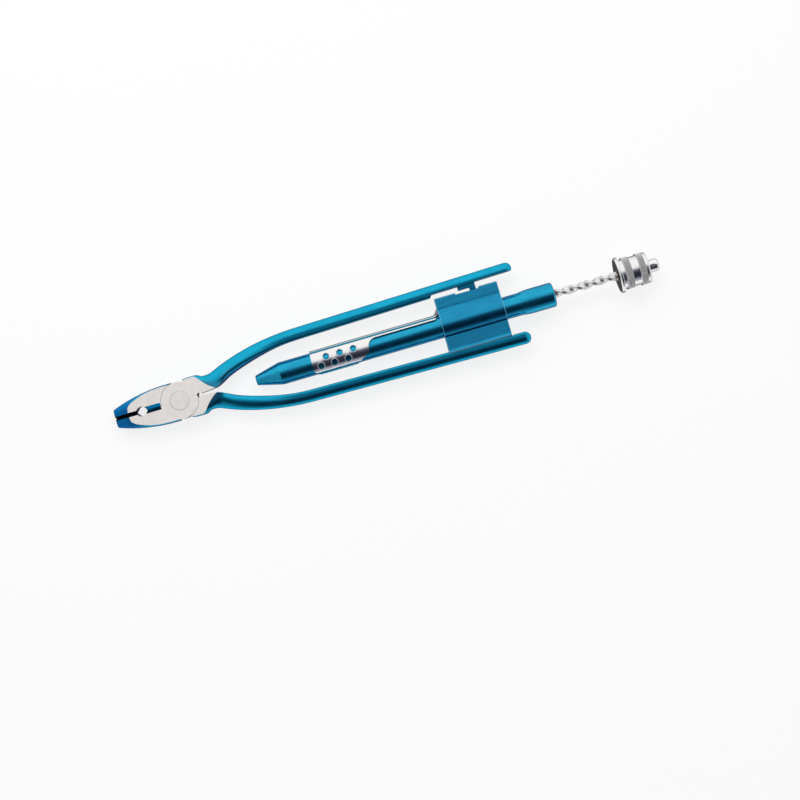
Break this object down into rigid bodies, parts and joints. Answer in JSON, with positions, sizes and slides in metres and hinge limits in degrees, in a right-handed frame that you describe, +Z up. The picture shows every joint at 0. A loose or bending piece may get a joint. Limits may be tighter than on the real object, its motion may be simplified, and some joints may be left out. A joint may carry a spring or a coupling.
{
  "type": "safety wire pliers",
  "caption": "Locking pliers with flush ground jaws, a twist tube between bowed handles, a slide latch and a pull knob on a spiral rod that spins the tool to twist lock wire.",
  "frame": {"origin": "on the pivot axis, at the lower ground face of the head on which the pliers lie", "axes": "+X along the tool from the pivot to the pull knob, +Y towards the upper handle, +Z up along the pivot axis"},
  "size_m": [0.3316, 0.0496, 0.0214],
  "materials": {
    "blue_coat": "glossy metallic blue coat",
    "ground_steel": "fine ground, matt",
    "hard_steel": "hardened, dull",
    "bronze": "plain turned",
    "bright_plate": "polished plate",
    "rod_steel": "bright drawn steel"
  },
  "bodies": {
    "frame": {"lower_lever": "blue_coat", "pivot_rivet": "ground_steel", "shield": "blue_coat", "twist_tube": "blue_coat", "drive_nut": "hard_steel", "end_bush": "bronze"},
    "upper": {"upper_lever": "blue_coat", "latch_hook": "blue_coat"},
    "slide": {"slide_lock": "bright_plate"},
    "swivel": {"thrust_washer": "hard_steel"},
    "rod": {"spiral_rod": "rod_steel", "rod_stop": "bronze", "stop_pin": "hard_steel", "end_stub": "bright_plate", "stub_pin": "hard_steel"},
    "knob": {"pull_knob": "bright_plate", "knob_bush": "bronze"}
  },
  "joints": [
    {"name": "jaw_pivot", "type": "hinge", "parent": "frame", "child": "upper", "pos_m": [0, 0, 0.005], "axis": [0, 0, 1], "range_deg": [-0.8, 29]},
    {"name": "latch_slide", "type": "slide", "parent": "frame", "child": "slide", "axis": [1, 0, 0], "range_m": [-0.008, 0]},
    {"name": "rod_pull", "type": "slide", "parent": "frame", "child": "swivel", "axis": [1, 0, 0], "range_m": [-0.038, 0.107]},
    {"name": "rod_spin", "type": "hinge", "parent": "swivel", "child": "rod", "pos_m": [0.2475, -0.0012, 0.005], "axis": [1, 0, 0], "range_deg": [-740, 2070]},
    {"name": "knob_swivel", "type": "hinge", "parent": "swivel", "child": "knob", "pos_m": [0.2762, -0.0012, 0.005], "axis": [1, 0, 0], "continuous": true}
  ],
  "couplings": [
    {"joint": "rod_spin", "follows": "rod_pull", "rad_per_m": 336.9}
  ]
}
